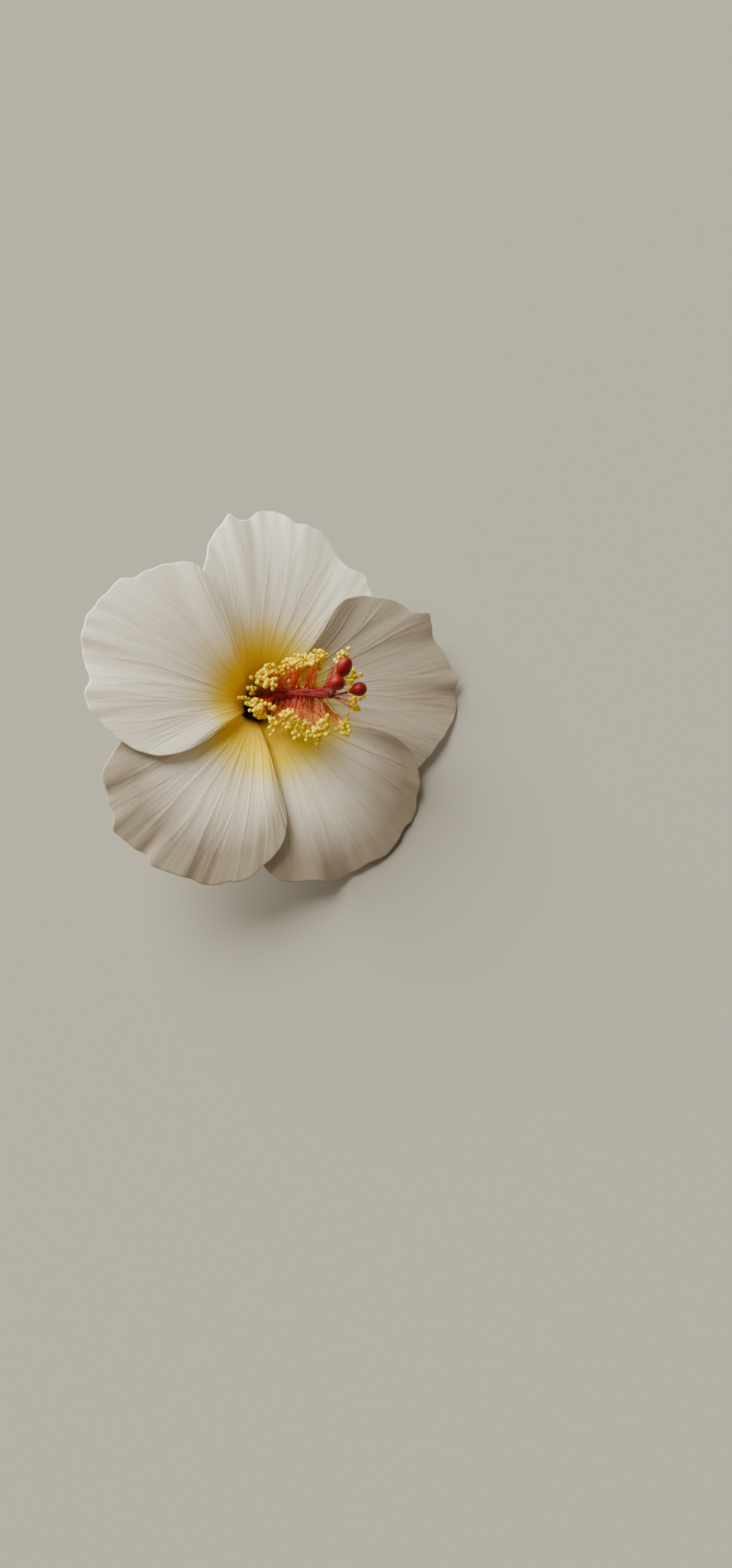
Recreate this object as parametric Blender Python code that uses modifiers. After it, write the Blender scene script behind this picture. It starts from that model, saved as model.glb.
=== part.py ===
"""One open hibiscus blossom, as picked, lying on a flat surface.

Five broad petals overlap round a funnel-shaped throat. A calyx with five lobes and a ring of seven narrow
bracts hold them on a short cut stalk. A hollow staminal column rises out of the throat with stamens all
round it, and the style runs up inside the column and ends in three branches, each with a red stigma.

The blossom is modelled upright in its own axes (its axis is +Z and the petals' claws start at height 0) and
is then laid down: it leans until the cut end of the stalk and the rims of two petals touch the surface.
"""

import math

import bmesh
import bpy
import numpy as np
from mathutils import Matrix, Vector

MM = 0.001

# ---- Driving dimensions -------------------------------------------------------------------------------

CLAW_RADIUS = 4.0 * MM  # the ring on which the five petals start
# The funnel's profile: (length along the petal in mm, lean away from the axis in degrees).
FLARE = ((0, 14), (10, 28), (20, 56), (32, 74), (50, 88), (75, 106))
PROFILE_END = 90 * MM
PROFILE_STEPS = 900

PETAL_THICKNESS = 0.8 * MM
PETAL_COLUMNS = 24
PETAL_ROWS = 10
CLAW_REACH = 55 * MM  # how far up a petal its edges still curve away from the claw
EDGE_LIFT = 0.7 * MM  # an overlapping edge rides this far above the funnel, an overlapped one below it
EDGE_LIFT_GROWTH = 0.9  # extra share of the lift at the rim

# Each petal: its rim as (azimuth in degrees, length in mm) from its right-hand edge to its left-hand edge,
# seen from above, the azimuths of those two edges down at the claw, and whether each of the two edges lies
# over (1) or under (-1) its neighbour.
PETALS = {
    "petal_right": {
        "rim": ((-34, 44), (-28, 57), (-22, 62.5), (-12, 67.5), (-4, 73), (8, 75), (14, 73), (21, 70.5),
                (29, 70.5), (32, 66), (39, 61.5), (46, 56), (52, 51.5), (57, 45), (59, 34)),
        "claw": (-24, 53),
        "edges": (-1, 1),
    },
    "petal_top": {
        "rim": ((34, 42), (40, 54), (48, 58), (56, 59.5), (62, 59), (67, 62), (72, 65.5), (83, 67), (91, 69),
                (96, 67.5), (100, 65), (104, 67.5), (110, 63), (116, 57.5), (123, 51), (133, 40)),
        "claw": (42, 145),
        "edges": (-1, -1),
    },
    "petal_left": {
        "rim": ((121, 39), (122, 49), (127, 58), (136, 62.5), (143, 65.5), (146, 68), (154, 70),
                (163, 71.5), (170, 70), (174, 68), (180, 68), (186, 66.5), (196, 60.5), (204, 54),
                (211, 45), (214, 34)),
        "claw": (138, 206),
        "edges": (1, 1),
    },
    "petal_lower_left": {
        "rim": ((189, 42), (193, 54), (200, 62), (206, 69), (211, 70.5), (220, 74.5), (230, 73.5),
                (238, 72.5), (249, 71), (256, 67), (262, 63), (268, 57), (273, 50), (275, 42), (275, 32)),
        "claw": (198, 260),
        "edges": (-1, 1),
    },
    "petal_lower_right": {
        "rim": ((255, 42), (262, 56), (269, 63), (276, 67), (283, 67), (290, 70), (298, 69.5), (306, 70),
                (314, 69), (323, 68.5), (329, 65), (336, 61), (342, 55), (345, 47), (346, 36)),
        "claw": (252, 344),
        "edges": (-1, 1),
    },
}

# Folds and frills that run in from the rim, the same for every petal that lies there:
# (azimuth in degrees, half width in degrees, height in mm at the rim, how steeply it fades inwards).
FRILLS = (
    (30, 5, 2.6, 5), (22, 6, -1.8, 4), (9, 4, 1.4, 6), (3, 5, -1.0, 5), (-12, 7, 2.0, 4), (45, 10, 2.0, 2),
    (58, 5, 1.8, 5), (66, 5, -1.4, 5), (78, 7, 1.2, 4), (92, 9, -1.6, 3), (104, 4, 3.0, 4), (112, 7, -1.6, 3),
    (124, 8, 1.8, 2), (144, 5, -1.4, 5), (152, 7, 1.2, 4), (163, 5, 1.2, 5), (172, 5, -2.6, 4),
    (181, 5, 2.6, 4), (206, 5, 1.6, 4), (211, 3, -1.4, 6), (217, 4, 1.2, 5), (229, 4, -1.0, 6),
    (238, 6, 1.2, 5), (249, 5, -1.2, 5), (262, 7, 1.4, 4), (276, 5, -1.6, 5), (284, 5, 1.4, 5),
    (293, 7, -2.6, 4), (312, 7, 1.2, 4), (325, 4, -0.7, 5), (333, 5, 1.2, 5),
)

CALYX_LIFT = -2.35 * MM  # the calyx wraps the claws this far outside the funnel
CALYX_THICKNESS = 0.7 * MM
CALYX_NOTCH = 9 * MM  # where its five lobes part
CALYX_TIP = 19 * MM
CALYX_FIRST_LOBE = 50  # degrees
CALYX_SEGMENTS = 40
CALYX_ROWS = 6
CALYX_FLOOR = ((2.1, -4.7), (3.7, -3.8), (5.5, -2.5))  # (radius, height) in mm, from the stalk outwards

# The stalk: (x, y, height, radius) in mm from its swollen top, on which everything sits, to its cut end.
STALK = (
    (0, 0, -0.7, 5.0), (0, 0, -1.1, 5.3), (0, 0, -1.8, 4.6), (0, 0, -2.8, 3.0), (0, 0, -3.6, 1.6),
    (0, 0, -4.4, 1.3),
    (-0.4, -0.1, -6.4, 1.2), (-1.8, -0.5, -8.4, 1.2), (-4.2, -1.3, -10.2, 1.2), (-7.4, -2.5, -11.5, 1.25),
    (-11.2, -4.2, -12.2, 1.35),
)

BRACT_COUNT = 7
BRACT_WIDTH = 1.9 * MM
BRACT_THICKNESS = 0.5 * MM
BRACT_ROWS = 7
# The line of a bract, outside the calyx: (radius, height) in mm.
BRACT_LINE = ((2.2, -5.7), (4.4, -4.9), (6.7, -3.3), (8.2, -0.6), (9.2, 2.8), (10.8, 5.8), (13.2, 8.0))

# The centre line of the column, in mm in the flower's own axes. It arches over to one side.
COLUMN_LINE = ((0, 0, 0), (0, 0, 7), (0.6, 0.7, 15), (2.0, 1.0, 24), (4.8, 0.0, 36), (8.3, -1.8, 49.5))
COLUMN_RADII = (2.45, 2.35, 1.7, 1.5, 1.5, 1.6)  # mm, outside, at those points
COLUMN_WALL = 0.6 * MM
COLUMN_POINTS = 16
STYLE_RADIUS = 0.5 * MM
STYLE_FOOT = -0.35 * MM  # just above the receptacle

# The style's three branches: which side of the column's mouth each leaves from (degrees), where it ends past
# the mouth, in mm, and its stigma's size and how much longer than the plain drop it is.
BRANCHES = (
    {"side": 90, "reach": (1.0, 3.5, 3.4), "stigma": 0.97, "stretch": 1.27},
    {"side": 210, "reach": (-0.6, 0.2, 3.3), "stigma": 0.96, "stretch": 1.0},
    {"side": -30, "reach": (4.3, 0.1, 2.8), "stigma": 0.92, "stretch": 1.0},
)
BRANCH_SPACING = 0.75 * MM  # from the column's centre line to where a branch leaves
BRANCH_RADIUS = 0.4 * MM
# A stigma is a drop on the end of its branch: (radius, height) in mm above the branch's end.
STIGMA = (
    (0, 6.0), (1.1, 5.75), (1.95, 4.9), (2.35, 3.6), (2.1, 2.35), (1.3, 1.2), (0.75, 0.5),
    (0.55, 0.0), (0, 0),
)

STAMEN_RINGS = 8
STAMENS_PER_RING = 4
STAMEN_RADIUS = 0.28 * MM
STAMEN_FIRST = 0.43  # share of the column's length below the lowest ring
STAMEN_LENGTHS = (8.0, 11.0)  # mm, at the lowest ring and at the column's mouth
STAMEN_LENGTH_SPREAD = 0.12  # share by which they vary
STAMEN_FORWARD = 0.42  # how far a stamen leans towards the column's mouth
# Above the lowest rings the stamens part into two fans, and leave the column bare towards the flower's
# -X side and, up to near its mouth, towards +X (degrees on each side of that direction).
STAMEN_BARE_FRONT = 50
STAMEN_BARE_BACK = 40
ANTHER_BEADS = (1.15, 1.35, 1.2)  # mm, radii of the swellings at a stamen's tip
GOLDEN_ANGLE = math.radians(137.5)

JOINT_GAP = 0.3 * MM  # between pieces that touch on the real flower
SPIN = 2  # degrees that the flower is turned about the vertical once it lies on the surface


# ---- The funnel that every petal follows --------------------------------------------------------------


def make_profile():
    """Length, radius, height and lean of the funnel, integrated from FLARE."""
    length = np.linspace(0, PROFILE_END, PROFILE_STEPS)
    knots = np.array(FLARE, float)
    lean = np.radians(np.interp(length, knots[:, 0] * MM, knots[:, 1]))
    step = length[1]
    radius = CLAW_RADIUS + np.concatenate([[0], np.cumsum((np.sin(lean[1:]) + np.sin(lean[:-1])) / 2 * step)])
    height = np.concatenate([[0], np.cumsum((np.cos(lean[1:]) + np.cos(lean[:-1])) / 2 * step)])
    return length, radius, height, lean


PROFILE = make_profile()


def smooth_through(points, count):
    """A Catmull-Rom curve through the points, read at count even parameters."""
    points = np.array(points, float)
    padded = np.vstack([2 * points[0] - points[1], points, 2 * points[-1] - points[-2]])
    found = []
    for t in np.linspace(0, len(points) - 1, count):
        i = min(int(t), len(points) - 2)
        f = t - i
        a, b, c, d = padded[i:i + 4]
        bend, twist = 2 * a - 5 * b + 4 * c - d, 3 * b - a - 3 * c + d
        found.append(0.5 * (2 * b + (c - a) * f + bend * f**2 + twist * f**3))
    return np.array(found)


def frill(azimuth, along):
    """Height of all the frills together, along is 0 at the claw and 1 at the rim."""
    total = 0.0
    for centre, width, height, fade in FRILLS:
        off = (azimuth - centre + 180) % 360 - 180
        total += height * MM * math.exp(-((off / width) ** 2)) * along**fade
    return total


def funnel_point(azimuth, length, lift):
    """A point lift above the funnel, at that azimuth in degrees and that length along the petal."""
    lengths, radii, heights, leans = PROFILE
    lean = np.interp(length, lengths, leans)
    radius = np.interp(length, lengths, radii) - lift * math.cos(lean)
    height = np.interp(length, lengths, heights) + lift * math.sin(lean)
    turn = math.radians(azimuth)
    return Vector((radius * math.cos(turn), radius * math.sin(turn), height))


# ---- Making objects -----------------------------------------------------------------------------------


def material(name, colour, roughness):
    """A plain finish."""
    made = bpy.data.materials.new(name)
    made.use_nodes = True
    shader = made.node_tree.nodes["Principled BSDF"]
    shader.inputs["Base Color"].default_value = (*colour, 1)
    shader.inputs["Roughness"].default_value = roughness
    shader.inputs["Metallic"].default_value = 0
    return made


def add_object(name, data, finish, collection):
    """An object in the flower's collection, with its finish."""
    made = bpy.data.objects.new(name, data)
    data.materials.append(finish)
    collection.objects.link(made)
    return made


def grid_mesh(name, columns, rows, place):
    """A grid whose point at (across, along), each from 0 to 1, is moved to place(across, along)."""
    mesh = bpy.data.meshes.new(name)
    shape = bmesh.new()
    bmesh.ops.create_grid(shape, x_segments=columns, y_segments=rows, size=0.5)
    for vertex in shape.verts:
        vertex.co = place(vertex.co.x + 0.5, vertex.co.y + 0.5)
    bmesh.ops.remove_doubles(shape, verts=shape.verts, dist=0.01 * MM)
    shape.to_mesh(mesh)
    shape.free()
    mesh.shade_smooth()
    return mesh


def thicken(thing, thickness):
    """Gives a sheet its thickness, half to each side."""
    shell = thing.modifiers.new("thickness", "SOLIDIFY")
    shell.thickness = thickness
    shell.offset = 0
    shell.use_even_offset = True


def turned(name, profile, steps, finish, collection):
    """A turned solid: profile is (radius, height) in mm down its outer side, from axis to axis."""
    mesh = bpy.data.meshes.new(name)
    points = [(radius * MM, 0, height * MM) for radius, height in profile]
    mesh.from_pydata(points, [(i, i + 1) for i in range(len(points) - 1)], [])
    thing = add_object(name, mesh, finish, collection)
    screw = thing.modifiers.new("turn", "SCREW")
    screw.steps = screw.render_steps = steps
    screw.use_merge_vertices = True
    screw.merge_threshold = 0.00001
    screw.use_smooth_shade = True
    return thing


def rod(name, line, radii, finish, collection, sides=2, capped=True):
    """A round rod along a line of points, with a radius at each."""
    curve = bpy.data.curves.new(name, "CURVE")
    curve.dimensions = "3D"
    curve.bevel_depth = 1
    curve.bevel_resolution = sides
    curve.use_fill_caps = capped
    spline = curve.splines.new("POLY")
    spline.points.add(len(line) - 1)
    for point, place, radius in zip(spline.points, line, radii):
        point.co = (*place, 1)
        point.radius = radius
    return add_object(name, curve, finish, collection)


# ---- The pieces ---------------------------------------------------------------------------------------


def build_petal(name, rim, claw, edges, finish, collection):
    """A petal: a sheet on the funnel out to its rim, lifted at the edges that lie over a neighbour."""
    outline = smooth_through(rim, 8 * len(rim))
    longest = max(length for _, length in rim) * MM

    def place(across, along):
        spread = 0.5 - 0.5 * math.cos(math.pi * across)  # closer columns near the two edges
        column = rim[0][0] + (rim[-1][0] - rim[0][0]) * (0.4 * across + 0.6 * spread)
        length = np.interp(column, outline[:, 0], outline[:, 1]) * MM * along**0.9
        climb = min(length / CLAW_REACH, 1)
        climb *= climb * (3 - 2 * climb)
        start = claw[0] + (claw[1] - claw[0]) * (column - rim[0][0]) / (rim[-1][0] - rim[0][0])
        azimuth = start + (column - start) * climb
        share = length / longest
        blend = 0.5 - 0.5 * math.cos(math.pi * across)
        lift = (edges[0] * (1 - blend) + edges[1] * blend) * EDGE_LIFT * (1 + EDGE_LIFT_GROWTH * share)
        return funnel_point(azimuth, length, lift + frill(azimuth, share))

    petal = add_object(name, grid_mesh(name, PETAL_COLUMNS, PETAL_ROWS, place), finish, collection)
    thicken(petal, PETAL_THICKNESS)


def build_calyx(finish, collection):
    """A cup round the claws that parts into five pointed lobes, closed round the stalk below."""
    floor = np.array(CALYX_FLOOR)
    floor_rows = len(CALYX_FLOOR)

    def place(across, along):
        azimuth = 360 * across
        row = round(along * (CALYX_ROWS + floor_rows))
        if row < floor_rows:
            turn = math.radians(azimuth)
            radius, height = floor[row] * MM
            return Vector((radius * math.cos(turn), radius * math.sin(turn), height))
        off = abs((azimuth - CALYX_FIRST_LOBE + 36) % 72 - 36) / 36
        top = CALYX_TIP - (CALYX_TIP - CALYX_NOTCH) * off**1.2
        length = top * (row - floor_rows) / CALYX_ROWS
        flare = 1.6 * MM * max(0, length / CALYX_TIP - 0.5)
        return funnel_point(azimuth, length, CALYX_LIFT - flare)

    mesh = grid_mesh("calyx", CALYX_SEGMENTS, CALYX_ROWS + floor_rows, place)
    thicken(add_object("calyx", mesh, finish, collection), CALYX_THICKNESS)


def build_bracts(finish, collection):
    """Seven narrow bracts in a ring below the calyx."""
    line = smooth_through(BRACT_LINE, BRACT_ROWS + 1) * MM
    for number in range(BRACT_COUNT):
        turn = 2 * math.pi * number / BRACT_COUNT + 0.2

        def place(across, along):
            radius, height = line[round(along * BRACT_ROWS)]
            width = BRACT_WIDTH * (1 - 0.75 * along**2) * (0.6 + 0.8 * along * (1 - along))
            point = Vector((radius, (across - 0.5) * width, height))
            return Matrix.Rotation(turn, 3, "Z") @ point

        name = f"bract_{number + 1}"
        bract = add_object(name, grid_mesh(name, 2, BRACT_ROWS, place), finish, collection)
        thicken(bract, BRACT_THICKNESS)


def build_stalk(finish, collection):
    """The cut stalk with its swollen top."""
    line = [Vector(point[:3]) * MM for point in STALK]
    rod("stalk", line, [point[3] * MM for point in STALK], finish, collection, sides=3)


def column_frame():
    """Points along the column's centre line and its outside radius at each."""
    line = smooth_through(COLUMN_LINE, COLUMN_POINTS) * MM
    places = np.linspace(0, len(COLUMN_RADII) - 1, COLUMN_POINTS)
    radii = np.interp(places, range(len(COLUMN_RADII)), COLUMN_RADII) * MM
    return line, radii


def build_column(finish, collection):
    """The hollow staminal column, open at both ends."""
    line, radii = column_frame()
    guide = rod("staminal_column", line, radii - COLUMN_WALL / 2, finish, collection, sides=2, capped=False)
    mesh = bpy.data.meshes.new_from_object(guide.evaluated_get(bpy.context.evaluated_depsgraph_get()))
    curve = guide.data
    bpy.data.objects.remove(guide)
    bpy.data.curves.remove(curve)
    column = bpy.data.objects.new("staminal_column", mesh)
    collection.objects.link(column)
    thicken(column, COLUMN_WALL)


def build_pistil(style_finish, stigma_finish, collection):
    """The style inside the column, its three branches and their stigmas."""
    line, _ = column_frame()
    style_line = [Vector((0, 0, STYLE_FOOT)), *[Vector(point) for point in line[1:]]]
    rod("style", style_line, [STYLE_RADIUS] * len(style_line), style_finish, collection, sides=1)
    mouth = Vector(line[-1])
    outward = (mouth - Vector(line[-2])).normalized()
    for number, branch in enumerate(BRANCHES, 1):
        tip = mouth + Vector(branch["reach"]) * MM
        aside = (tip - mouth) - (tip - mouth).project(outward)
        side = Matrix.Rotation(math.radians(branch["side"]), 3, "Z") @ Vector((BRANCH_SPACING, 0, 0))
        first = mouth + outward * (JOINT_GAP + BRANCH_RADIUS) + side
        bend = first + outward * 1.4 * MM + aside * 0.3
        points = [first.lerp(bend, t).lerp(bend.lerp(tip, t), t) for t in np.linspace(0, 1, 6)]
        rod(f"style_branch_{number}", points, [BRANCH_RADIUS] * 6, style_finish, collection, sides=2)
        along = (points[-1] - points[-2]).normalized()
        size = branch["stigma"]
        drop = [(radius * size, height * size * branch["stretch"]) for radius, height in STIGMA]
        stigma = turned(f"stigma_{number}", drop, 14, stigma_finish, collection)
        turn = along.to_track_quat("Z", "Y").to_matrix().to_4x4()
        stigma.matrix_world = Matrix.Translation(tip + along * JOINT_GAP) @ turn


def stamen_turn(number, share):
    """The angle in radians from the column's +X side to a stamen at that share of the column's length."""
    turn = (math.degrees(GOLDEN_ANGLE) * number + 360) % 360 - 180
    front = STAMEN_BARE_FRONT * min(max((share - 0.62) / 0.12, 0), 1)
    back = STAMEN_BARE_BACK * min(max((share - 0.46) / 0.14, 0), 1)
    back *= 1 - min(max((share - 0.8) / 0.1, 0), 1)
    return math.radians(math.copysign(back + (180 - front - back) * abs(turn) / 180, turn))


def build_stamens(finish, collection):
    """Stamens in rings up the column, each a thread with a swollen anther at its tip."""
    line, radii = column_frame()
    count = STAMEN_RINGS * STAMENS_PER_RING
    for number in range(count):
        share = STAMEN_FIRST + (0.97 - STAMEN_FIRST) * number / (count - 1)
        place = share * (len(line) - 1)
        i = min(int(place), len(line) - 2)
        centre = Vector(line[i]).lerp(Vector(line[i + 1]), place - i)
        along = (Vector(line[i + 1]) - Vector(line[i])).normalized()
        side = (Vector((1, 0, 0)) - Vector((1, 0, 0)).project(along)).normalized()
        out = Matrix.Rotation(stamen_turn(number, share), 3, along) @ side
        radius = np.interp(place, range(len(radii)), radii)
        low, high = STAMEN_LENGTHS
        spread = 1 + STAMEN_LENGTH_SPREAD * (2 * (number * 0.618 % 1) - 1)
        reach = (low + (high - low) * (number / count) ** 0.5) * spread * MM
        foot = centre + out * (radius + JOINT_GAP + STAMEN_RADIUS / 3)
        knee = foot + out * reach * 0.5 + along * reach * STAMEN_FORWARD * 0.2
        tip = foot + out * reach * 0.9 + along * reach * STAMEN_FORWARD
        points = [foot.lerp(knee, t).lerp(knee.lerp(tip, t), t) for t in (0, 0.3, 0.6, 0.85, 1)]
        sizes = [STAMEN_RADIUS] * 5
        heading = (points[-1] - points[-2]).normalized()
        place = points[-1]
        for bead in ANTHER_BEADS:
            for step, size in ((0.15, 0.6), (0.75, 1.0), (0.6, 0.6)):
                place = place + heading * step * bead * MM
                points.append(place)
                sizes.append(size * bead * MM)
        rod(f"stamen_{number + 1:02d}", points, sizes, finish, collection, sides=1)


# ---- Laying it down -----------------------------------------------------------------------------------


def world_points(thing):
    """The corners of an object's finished mesh, in the scene."""
    graph = bpy.context.evaluated_depsgraph_get()
    made = thing.evaluated_get(graph)
    mesh = made.to_mesh()
    points = np.array([made.matrix_world @ v.co for v in mesh.vertices])
    made.to_mesh_clear()
    return points


def lay_down(collection):
    """Leans the flower until the stalk's end and the two petals below its lean all touch height 0."""
    feet = ("stalk", "petal_right", "petal_lower_right")
    parts = {name: world_points(bpy.data.objects[name]) for name in feet}
    everything = np.vstack([world_points(thing) for thing in collection.objects])
    up = Vector((-0.4, 0.15, 0.9)).normalized()
    for _ in range(40):
        lowest = [Vector(points[(points @ np.array(up)).argmin()]) for points in parts.values()]
        normal = (lowest[1] - lowest[0]).cross(lowest[2] - lowest[0]).normalized()
        up = normal if normal.z > 0 else -normal
    turn = Matrix.Rotation(math.radians(SPIN), 3, "Z") @ up.rotation_difference(Vector((0, 0, 1))).to_matrix()
    laid = everything @ np.array(turn).T
    low, high = laid.min(axis=0), laid.max(axis=0)
    shift = Vector((-(low[0] + high[0]) / 2, -(low[1] + high[1]) / 2, -low[2]))
    for thing in collection.objects:
        thing.matrix_world = Matrix.Translation(shift) @ turn.to_4x4() @ thing.matrix_world


def main():
    for thing in list(bpy.data.objects):
        bpy.data.objects.remove(thing)
    collection = bpy.data.collections.new("hibiscus_flower")
    bpy.context.scene.collection.children.link(collection)

    white = material("petal_white", (0.86, 0.84, 0.78), 0.6)
    green = material("calyx_green", (0.16, 0.24, 0.06), 0.6)
    stalk_green = material("stalk_green", (0.13, 0.2, 0.05), 0.55)
    red = material("thread_red", (0.5, 0.03, 0.02), 0.6)
    stigma_red = material("stigma_red", (0.42, 0.01, 0.01), 0.45)
    yellow = material("anther_yellow", (0.85, 0.6, 0.03), 0.5)

    for name, petal in PETALS.items():
        build_petal(name, petal["rim"], petal["claw"], petal["edges"], white, collection)
    build_calyx(green, collection)
    build_bracts(green, collection)
    build_stalk(stalk_green, collection)
    build_column(red, collection)
    build_pistil(red, stigma_red, collection)
    build_stamens(yellow, collection)
    bpy.context.view_layer.update()
    lay_down(collection)


main()
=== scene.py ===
"""An open hibiscus blossom, cut and lying on a pale surface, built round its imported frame."""

import logging
import math
from dataclasses import dataclass, replace
from enum import Enum

import bpy
import numpy as np
from mathutils import Matrix, Vector


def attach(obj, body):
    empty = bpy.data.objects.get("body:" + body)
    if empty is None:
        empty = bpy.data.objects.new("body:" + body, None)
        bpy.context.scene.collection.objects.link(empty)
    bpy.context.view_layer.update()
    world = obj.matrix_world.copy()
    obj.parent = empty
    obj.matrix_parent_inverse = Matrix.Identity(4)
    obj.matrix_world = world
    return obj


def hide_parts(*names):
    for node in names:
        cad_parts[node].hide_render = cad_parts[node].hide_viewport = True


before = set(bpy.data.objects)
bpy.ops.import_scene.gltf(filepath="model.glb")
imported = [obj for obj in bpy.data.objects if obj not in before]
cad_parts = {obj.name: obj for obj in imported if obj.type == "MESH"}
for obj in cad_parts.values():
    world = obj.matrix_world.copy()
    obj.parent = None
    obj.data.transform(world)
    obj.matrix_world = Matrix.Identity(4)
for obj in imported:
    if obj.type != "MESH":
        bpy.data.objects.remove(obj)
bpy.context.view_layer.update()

logging.basicConfig(level=logging.INFO, format="%(message)s")
log = logging.getLogger("hibiscus")

MM = 0.001
Thing = bpy.types.Object
Finish = bpy.types.Material
Socket = bpy.types.NodeSocket


# ---- Small helpers ------------------------------------------------------------------------------------


def linear(hex_colour: str) -> tuple[float, float, float, float]:
    """Turns an sRGB hex colour into a linear one.

    Args:
        hex_colour: six hex digits, with or without a leading #.

    Returns:
        Red, green, blue and an alpha of 1.
    """
    digits = hex_colour.lstrip("#")
    channels = [int(digits[i:i + 2], 16) / 255 for i in (0, 2, 4)]
    light = [c / 12.92 if c <= 0.04045 else ((c + 0.055) / 1.055) ** 2.4 for c in channels]
    return (*light, 1.0)


def smooth_through(points: tuple | np.ndarray, count: int) -> np.ndarray:
    """Reads a Catmull-Rom curve through the points.

    Args:
        points: the points, a row for each.
        count: how many places to read, at even parameters.

    Returns:
        An array of count points.
    """
    knots = np.array(points, float)
    padded = np.vstack([2 * knots[0] - knots[1], knots, 2 * knots[-1] - knots[-2]])
    place = np.linspace(0, len(knots) - 1, count)
    i = np.minimum(place.astype(int), len(knots) - 2)
    f = (place - i)[:, None]
    a, b, c, d = padded[i], padded[i + 1], padded[i + 2], padded[i + 3]
    curved = (2 * a - 5 * b + 4 * c - d) * f**2 + (3 * b - a - 3 * c + d) * f**3
    return 0.5 * (2 * b + (c - a) * f + curved)


def bow(first: Vector, middle: Vector, last: Vector, count: int) -> list:
    """Reads a quadratic curve.

    Args:
        first: where it starts.
        middle: the point that it bends towards.
        last: where it ends.
        count: how many places to read.

    Returns:
        The points.
    """
    return [first.lerp(middle, t).lerp(middle.lerp(last, t), t) for t in np.linspace(0, 1, count)]


def around(radius: np.ndarray, turn: np.ndarray, height: np.ndarray) -> np.ndarray:
    """Finds points round the Z axis.

    Args:
        radius: their distances from it.
        turn: their angles in radians from the +X side.
        height: their heights.

    Returns:
        An array with x, y and z last.
    """
    return np.stack([radius * np.cos(turn), radius * np.sin(turn), height], -1)


def ease(value: np.ndarray) -> np.ndarray:
    """A smooth step from 0 to 1, flat at both ends.

    Args:
        value: where on the step, from 0 to 1; it is held outside that.

    Returns:
        The step's height.
    """
    held = np.clip(value, 0, 1)
    return held * held * (3 - 2 * held)


def deselect() -> None:
    """Deselects every object."""
    bpy.ops.object.select_all(action="DESELECT")


def activate(thing: Thing) -> None:
    """Selects one object alone and makes it the active one.

    Args:
        thing: the object.
    """
    deselect()
    thing.select_set(True)
    bpy.context.view_layer.objects.active = thing


def read_points(thing: Thing) -> np.ndarray:
    """Reads an object's own vertex positions.

    Args:
        thing: the object.

    Returns:
        An array with a row for each vertex.
    """
    flat = np.empty(len(thing.data.vertices) * 3)
    thing.data.vertices.foreach_get("co", flat)
    return flat.reshape(-1, 3)


def write_points(thing: Thing, points: np.ndarray) -> None:
    """Moves an object's vertices.

    Args:
        thing: the object.
        points: the new positions, a row for each vertex.
    """
    thing.data.vertices.foreach_set("co", points.ravel())
    thing.data.update()


def mark(thing: Thing, name: str, values: np.ndarray) -> None:
    """Stores one number a vertex as a named attribute that a finish can read.

    Args:
        thing: the object.
        name: the attribute's name.
        values: the numbers.
    """
    layer = thing.data.attributes.new(name, "FLOAT", "POINT")
    layer.data.foreach_set("value", np.asarray(values, float).ravel())


def wrap_seam(thing: Thing, reach: float) -> None:
    """Merges close vertices and turns the faces outwards.

    Args:
        thing: the object.
        reach: the distance under which vertices merge.
    """
    activate(thing)
    bpy.ops.object.mode_set(mode="EDIT")
    bpy.ops.mesh.select_all(action="SELECT")
    bpy.ops.mesh.remove_doubles(threshold=reach)
    bpy.ops.mesh.normals_make_consistent(inside=False)
    bpy.ops.object.mode_set(mode="OBJECT")


def sheet(name: str, columns: int, rows: int) -> tuple[Thing, np.ndarray]:
    """Makes a flat grid to be shaped into a sheet.

    Args:
        name: the new object's name.
        columns: faces across it.
        rows: faces along it.

    Returns:
        The grid, and its vertex positions, from -0.5 to 0.5 each way.
    """
    deselect()
    bpy.ops.mesh.primitive_grid_add(x_subdivisions=columns, y_subdivisions=rows, size=1)
    thing = bpy.context.object
    thing.name = thing.data.name = name
    return thing, read_points(thing)


def thicken(thing: Thing, thickness: float, offset: float = 0, group: str = "", thinnest: float = 0) -> None:
    """Gives a sheet its thickness.

    Args:
        thing: the sheet.
        thickness: in mm.
        offset: 0 for both sides alike, -1 for inwards only.
        group: the vertex group that says how much of it each place gets, if not all.
        thinnest: the least share that a place in the group gets.
    """
    shell = thing.modifiers.new("thickness", "SOLIDIFY")
    shell.thickness = thickness * MM
    shell.offset = offset
    shell.vertex_group = group
    shell.thickness_vertex_group = thinnest
    activate(thing)
    bpy.ops.object.modifier_apply(modifier=shell.name)


def rods(name: str, lines: list, radii: list, sides: int) -> Thing:
    """Makes round rods along lines of points, joined in one mesh.

    Args:
        name: the new object's name.
        lines: one array of points for each rod.
        radii: one array of radii for each rod.
        sides: the curve's bevel resolution.

    Returns:
        The mesh object.
    """
    deselect()
    bpy.ops.curve.primitive_nurbs_path_add(location=(0, 0, 0))
    thing = bpy.context.object
    thing.name = thing.data.name = name
    curve = thing.data
    curve.splines.clear()
    curve.dimensions = "3D"
    curve.bevel_depth = 1
    curve.bevel_resolution = sides
    curve.use_fill_caps = True
    for line, sizes in zip(lines, radii):
        spline = curve.splines.new("POLY")
        spline.points.add(len(line) - 1)
        for point, place, size in zip(spline.points, line, sizes):
            point.co = (*place, 1)
            point.radius = size
    activate(thing)
    bpy.ops.object.convert(target="MESH")
    thing = bpy.context.object
    wrap_seam(thing, 0.002 * MM)
    return thing


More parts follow.
